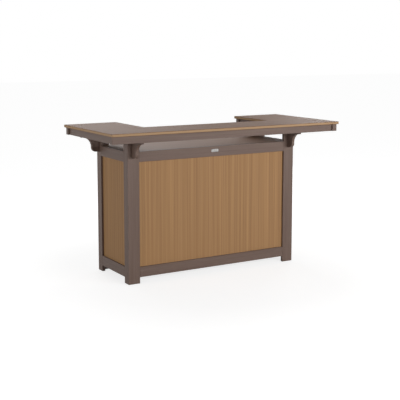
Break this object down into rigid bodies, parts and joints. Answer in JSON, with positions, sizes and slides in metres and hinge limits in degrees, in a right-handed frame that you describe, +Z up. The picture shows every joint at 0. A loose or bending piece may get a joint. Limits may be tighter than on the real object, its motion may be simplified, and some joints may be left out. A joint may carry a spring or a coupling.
{
  "type": "bar table",
  "caption": "Free-standing outdoor serving bar: U-shaped top on corbels over a panelled cabinet with corner legs, an inner work counter and open shelves at the back.",
  "frame": {"origin": "on the floor, under the middle of the bar top", "axes": "+X along the bar to the right seen by the guests, +Y to the server's side, +Z up"},
  "size_m": [1.829, 0.796, 1.067],
  "materials": {
    "frame_board": "brown poly lumber with fine lengthwise grain, eased edges",
    "top_sheet": "brown sheet with a tan core that shows along its edges",
    "panel_sheet": "tan sheet with straight upright grain",
    "steel": "brushed stainless"
  },
  "bodies": {
    "root": {"apron_screws": "steel", "back_bottom_rail": "frame_board", "back_left_leg_face": "frame_board", "back_left_leg_side": "frame_board", "back_right_leg_face": "frame_board", "back_right_leg_side": "frame_board", "back_top_rail": "frame_board", "bar_top": "top_sheet", "blank_plate": "steel", "bottom_shelf": "top_sheet", "bracket_screws": "steel", "corbel_screws": "steel", "front_apron": "frame_board", "front_base_cleat": "frame_board", "front_bottom_rail": "frame_board", "front_counter_cleat": "frame_board", "front_left_corbel": "frame_board", "front_left_leg_face": "frame_board", "front_left_leg_side": "frame_board", "front_panel": "panel_sheet", "front_right_corbel": "frame_board", "front_right_leg_face": "frame_board", "front_right_leg_side": "frame_board", "front_shelf_cleat": "frame_board", "front_top_rail": "frame_board", "left_base_cleat": "frame_board", "left_bottom_rail": "frame_board", "left_counter_cleat": "frame_board", "left_panel": "panel_sheet", "left_shelf_cleat": "frame_board", "left_side_apron": "frame_board", "left_side_corbel": "frame_board", "left_top_rail": "frame_board", "left_wing_back_apron": "frame_board", "left_wing_inner_apron": "frame_board", "middle_shelf": "top_sheet", "middle_shelf_rail": "frame_board", "panel_screws": "steel", "rail_screws": "steel", "rear_apron": "frame_board", "right_base_cleat": "frame_board", "right_bottom_rail": "frame_board", "right_counter_cleat": "frame_board", "right_panel": "panel_sheet", "right_shelf_cleat": "frame_board", "right_side_apron": "frame_board", "right_side_corbel": "frame_board", "right_top_rail": "frame_board", "right_wing_back_apron": "frame_board", "right_wing_inner_apron": "frame_board", "sheet_screws": "steel", "shelf_cleat_screws": "steel", "top_brackets": "steel", "work_counter": "top_sheet"}
  },
  "joints": []
}
